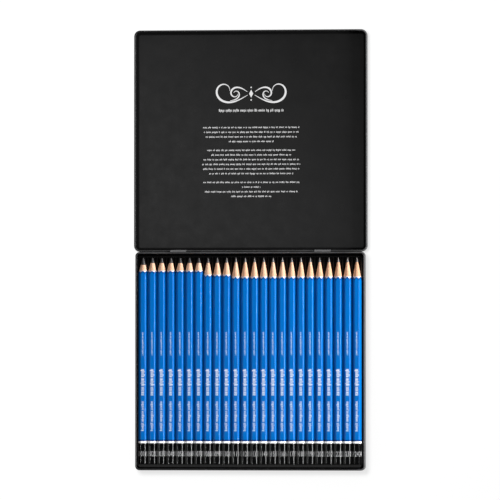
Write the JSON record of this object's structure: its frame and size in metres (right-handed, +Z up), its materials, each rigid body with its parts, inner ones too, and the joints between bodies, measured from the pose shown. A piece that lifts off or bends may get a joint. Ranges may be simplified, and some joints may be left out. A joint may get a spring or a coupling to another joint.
{
  "type": "pencil tin",
  "caption": "Flat hinged tinplate case, open flat, with a formed tray that holds a row of sharpened hexagonal pencils.",
  "frame": {"origin": "centre of the open tin's footprint, on the surface it lies on", "axes": "+X along the hinge, +Y from the base towards the open lid, +Z up"},
  "size_m": [0.1986, 0.3736, 0.0133],
  "materials": {
    "tin": "satin black lacquer on thin tinplate, slightly worn at the rolled rims",
    "wire": "drawn steel wire",
    "tray": "thin formed black plastic sheet, satin",
    "barrel": "gloss blue lacquer with a white ring and a black dipped end, bare sharpened cone",
    "graphite": "fired graphite and clay with a soft metallic sheen"
  },
  "bodies": {
    "base": {"base_pan": "tin"},
    "lid": {"lid_shell": "tin", "hinge_wire_left": "wire", "hinge_wire_right": "wire"},
    "tray": {"insert_tray": "tray"},
    "pencil_01": {"pencil_01_barrel": "barrel", "pencil_01_lead": "graphite"},
    "pencil_02": {"pencil_02_barrel": "barrel", "pencil_02_lead": "graphite"},
    "pencil_03": {"pencil_03_barrel": "barrel", "pencil_03_lead": "graphite"},
    "pencil_04": {"pencil_04_barrel": "barrel", "pencil_04_lead": "graphite"},
    "pencil_05": {"pencil_05_barrel": "barrel", "pencil_05_lead": "graphite"},
    "pencil_06": {"pencil_06_barrel": "barrel", "pencil_06_lead": "graphite"},
    "pencil_07": {"pencil_07_barrel": "barrel", "pencil_07_lead": "graphite"},
    "pencil_08": {"pencil_08_barrel": "barrel", "pencil_08_lead": "graphite"},
    "pencil_09": {"pencil_09_barrel": "barrel", "pencil_09_lead": "graphite"},
    "pencil_10": {"pencil_10_barrel": "barrel", "pencil_10_lead": "graphite"},
    "pencil_11": {"pencil_11_barrel": "barrel", "pencil_11_lead": "graphite"},
    "pencil_12": {"pencil_12_barrel": "barrel", "pencil_12_lead": "graphite"},
    "pencil_13": {"pencil_13_barrel": "barrel", "pencil_13_lead": "graphite"},
    "pencil_14": {"pencil_14_barrel": "barrel", "pencil_14_lead": "graphite"},
    "pencil_15": {"pencil_15_barrel": "barrel", "pencil_15_lead": "graphite"},
    "pencil_16": {"pencil_16_barrel": "barrel", "pencil_16_lead": "graphite"},
    "pencil_17": {"pencil_17_barrel": "barrel", "pencil_17_lead": "graphite"},
    "pencil_18": {"pencil_18_barrel": "barrel", "pencil_18_lead": "graphite"},
    "pencil_19": {"pencil_19_barrel": "barrel", "pencil_19_lead": "graphite"},
    "pencil_20": {"pencil_20_barrel": "barrel", "pencil_20_lead": "graphite"},
    "pencil_21": {"pencil_21_barrel": "barrel", "pencil_21_lead": "graphite"},
    "pencil_22": {"pencil_22_barrel": "barrel", "pencil_22_lead": "graphite"},
    "pencil_23": {"pencil_23_barrel": "barrel", "pencil_23_lead": "graphite"},
    "pencil_24": {"pencil_24_barrel": "barrel", "pencil_24_lead": "graphite"}
  },
  "joints": [
    {"name": "lid_hinge", "type": "hinge", "parent": "base", "child": "lid", "pos_m": [0, -0.00085, 0.0073], "axis": [-1, 0, 0], "range_deg": [-180, 0]},
    {"name": "tray_lift", "type": "slide", "parent": "base", "child": "tray", "axis": [0, 0, 1], "range_m": [0, 0.02]},
    {"name": "pencil_01_lift", "type": "slide", "parent": "tray", "child": "pencil_01", "axis": [0, 0, 1], "range_m": [0, 0.02]},
    {"name": "pencil_02_lift", "type": "slide", "parent": "tray", "child": "pencil_02", "axis": [0, 0, 1], "range_m": [0, 0.02]},
    {"name": "pencil_03_lift", "type": "slide", "parent": "tray", "child": "pencil_03", "axis": [0, 0, 1], "range_m": [0, 0.02]},
    {"name": "pencil_04_lift", "type": "slide", "parent": "tray", "child": "pencil_04", "axis": [0, 0, 1], "range_m": [0, 0.02]},
    {"name": "pencil_05_lift", "type": "slide", "parent": "tray", "child": "pencil_05", "axis": [0, 0, 1], "range_m": [0, 0.02]},
    {"name": "pencil_06_lift", "type": "slide", "parent": "tray", "child": "pencil_06", "axis": [0, 0, 1], "range_m": [0, 0.02]},
    {"name": "pencil_07_lift", "type": "slide", "parent": "tray", "child": "pencil_07", "axis": [0, 0, 1], "range_m": [0, 0.02]},
    {"name": "pencil_08_lift", "type": "slide", "parent": "tray", "child": "pencil_08", "axis": [0, 0, 1], "range_m": [0, 0.02]},
    {"name": "pencil_09_lift", "type": "slide", "parent": "tray", "child": "pencil_09", "axis": [0, 0, 1], "range_m": [0, 0.02]},
    {"name": "pencil_10_lift", "type": "slide", "parent": "tray", "child": "pencil_10", "axis": [0, 0, 1], "range_m": [0, 0.02]},
    {"name": "pencil_11_lift", "type": "slide", "parent": "tray", "child": "pencil_11", "axis": [0, 0, 1], "range_m": [0, 0.02]},
    {"name": "pencil_12_lift", "type": "slide", "parent": "tray", "child": "pencil_12", "axis": [0, 0, 1], "range_m": [0, 0.02]},
    {"name": "pencil_13_lift", "type": "slide", "parent": "tray", "child": "pencil_13", "axis": [0, 0, 1], "range_m": [0, 0.02]},
    {"name": "pencil_14_lift", "type": "slide", "parent": "tray", "child": "pencil_14", "axis": [0, 0, 1], "range_m": [0, 0.02]},
    {"name": "pencil_15_lift", "type": "slide", "parent": "tray", "child": "pencil_15", "axis": [0, 0, 1], "range_m": [0, 0.02]},
    {"name": "pencil_16_lift", "type": "slide", "parent": "tray", "child": "pencil_16", "axis": [0, 0, 1], "range_m": [0, 0.02]},
    {"name": "pencil_17_lift", "type": "slide", "parent": "tray", "child": "pencil_17", "axis": [0, 0, 1], "range_m": [0, 0.02]},
    {"name": "pencil_18_lift", "type": "slide", "parent": "tray", "child": "pencil_18", "axis": [0, 0, 1], "range_m": [0, 0.02]},
    {"name": "pencil_19_lift", "type": "slide", "parent": "tray", "child": "pencil_19", "axis": [0, 0, 1], "range_m": [0, 0.02]},
    {"name": "pencil_20_lift", "type": "slide", "parent": "tray", "child": "pencil_20", "axis": [0, 0, 1], "range_m": [0, 0.02]},
    {"name": "pencil_21_lift", "type": "slide", "parent": "tray", "child": "pencil_21", "axis": [0, 0, 1], "range_m": [0, 0.02]},
    {"name": "pencil_22_lift", "type": "slide", "parent": "tray", "child": "pencil_22", "axis": [0, 0, 1], "range_m": [0, 0.02]},
    {"name": "pencil_23_lift", "type": "slide", "parent": "tray", "child": "pencil_23", "axis": [0, 0, 1], "range_m": [0, 0.02]},
    {"name": "pencil_24_lift", "type": "slide", "parent": "tray", "child": "pencil_24", "axis": [0, 0, 1], "range_m": [0, 0.02]}
  ]
}
